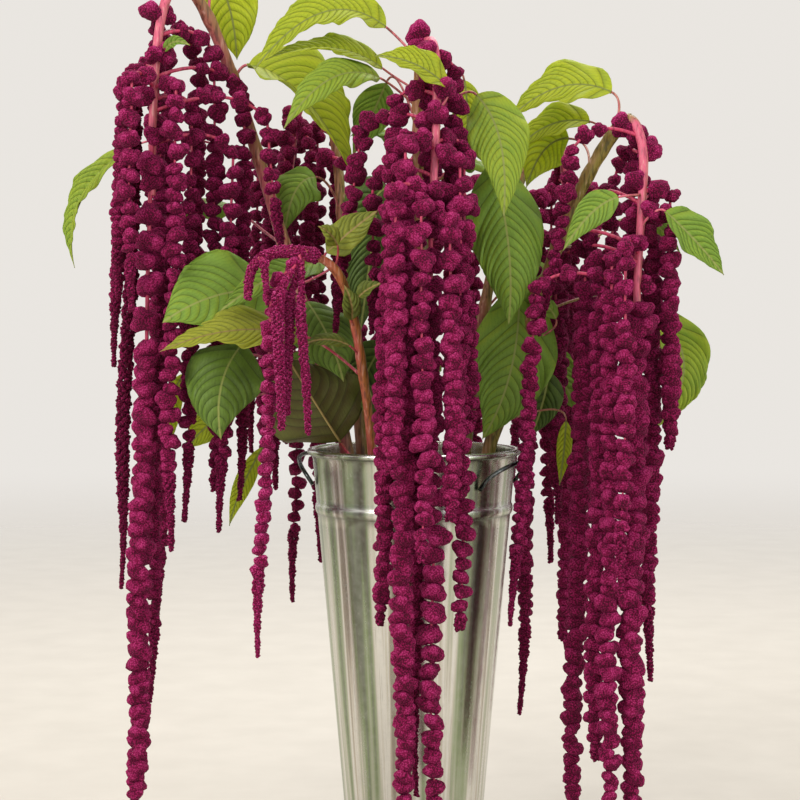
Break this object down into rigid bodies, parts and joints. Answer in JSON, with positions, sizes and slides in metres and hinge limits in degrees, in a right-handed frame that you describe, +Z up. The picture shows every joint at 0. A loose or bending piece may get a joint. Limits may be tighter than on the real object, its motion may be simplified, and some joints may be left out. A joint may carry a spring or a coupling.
{
  "type": "love-lies-bleeding stems in a metal flower bucket",
  "caption": "Tall tapered metal flower bucket with water and leafy cut stems whose long beaded flower tassels arch over the rim and hang down.",
  "frame": {"origin": "centre of the bucket's base, on the surface that it stands on", "axes": "+Z up along the bucket's axis, -Y towards the viewer of the picture, +X to the picture's right"},
  "size_m": [0.5962, 0.3951, 0.7995],
  "materials": {
    "zinc": "galvanised sheet, satin to shiny, with soft streaks",
    "water": "clear water",
    "leaf": "fresh leaf and stem, satin, veined",
    "young_leaf": "young leaf and orange-brown stem, satin",
    "flower": "deep magenta florets, matt and knobbly",
    "young_flower": "bright pink young florets, matt"
  },
  "bodies": {
    "root": {"bucket": "zinc", "ear_right": "zinc", "ear_left": "zinc", "water": "water", "stem_left": "leaf", "head_left": "flower", "stem_centre": "leaf", "head_centre": "flower", "stem_right": "leaf", "head_right": "flower", "stem_back_left": "leaf", "head_back_left": "flower", "stem_back_right": "leaf", "head_back_right": "flower", "stem_back": "leaf", "head_back": "flower", "stem_young": "young_leaf", "head_young": "young_flower", "bract_left": "leaf", "bract_centre": "leaf", "bract_right_inner": "leaf", "bract_right_outer": "leaf"}
  },
  "joints": []
}
